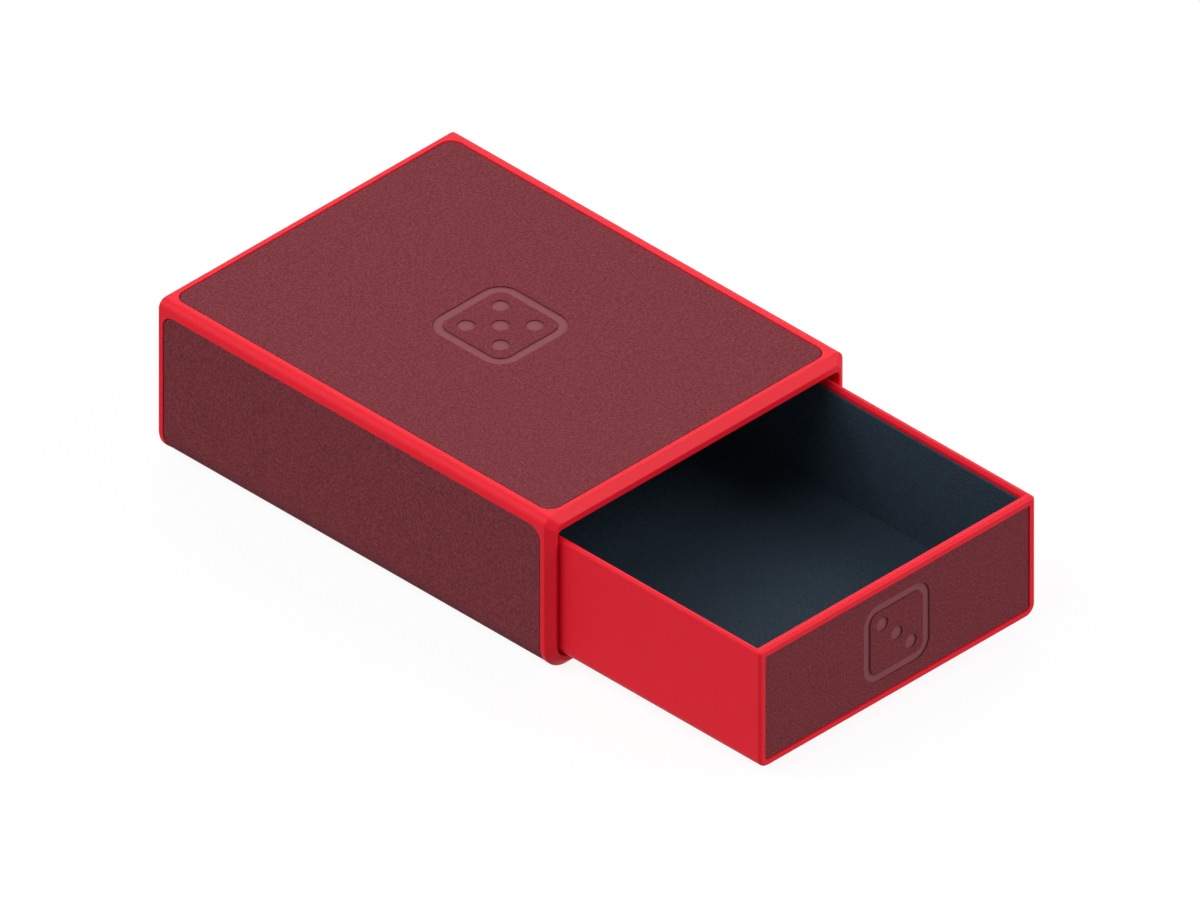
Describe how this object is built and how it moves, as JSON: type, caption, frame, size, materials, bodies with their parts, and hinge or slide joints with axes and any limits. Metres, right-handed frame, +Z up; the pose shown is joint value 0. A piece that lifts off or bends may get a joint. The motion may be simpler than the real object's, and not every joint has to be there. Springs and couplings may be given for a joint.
{
  "type": "dice storage chest",
  "caption": "Flat rounded sleeve with let-in fabric panels, and a lined drawer that slides out of its chamfered mouth to hold dice.",
  "frame": {"origin": "centre of the sleeve's underside, on the surface that it stands on", "axes": "+X to the right seen from the drawer's front, +Y from the mouth towards the closed back, along the drawer's slide, +Z up"},
  "size_m": [0.0822, 0.1623, 0.0367],
  "materials": {
    "red_leatherette": "bright red fine-grained leatherette, satin",
    "burgundy_microfibre": "burgundy pebbled microfibre, matt",
    "slate_leatherette": "dark slate leatherette, low sheen",
    "nickel": "nickel plated"
  },
  "bodies": {
    "sleeve": {"sleeve_shell": "red_leatherette", "sleeve_back_panel": "red_leatherette", "top_inlay": "burgundy_microfibre", "side_and_base_inlay": "burgundy_microfibre", "back_inlay": "burgundy_microfibre", "sleeve_magnet_left": "nickel", "sleeve_magnet_right": "nickel"},
    "drawer": {"drawer_tray": "red_leatherette", "drawer_front_inlay": "burgundy_microfibre", "floor_lining": "slate_leatherette", "left_lining": "slate_leatherette", "right_lining": "slate_leatherette", "front_lining": "slate_leatherette", "back_lining": "slate_leatherette", "drawer_magnet_left": "nickel", "drawer_magnet_right": "nickel"}
  },
  "joints": [
    {"name": "drawer_slide", "type": "slide", "parent": "sleeve", "child": "drawer", "axis": [0, -1, 0], "range_m": [-0.0547, 0.0497]}
  ]
}
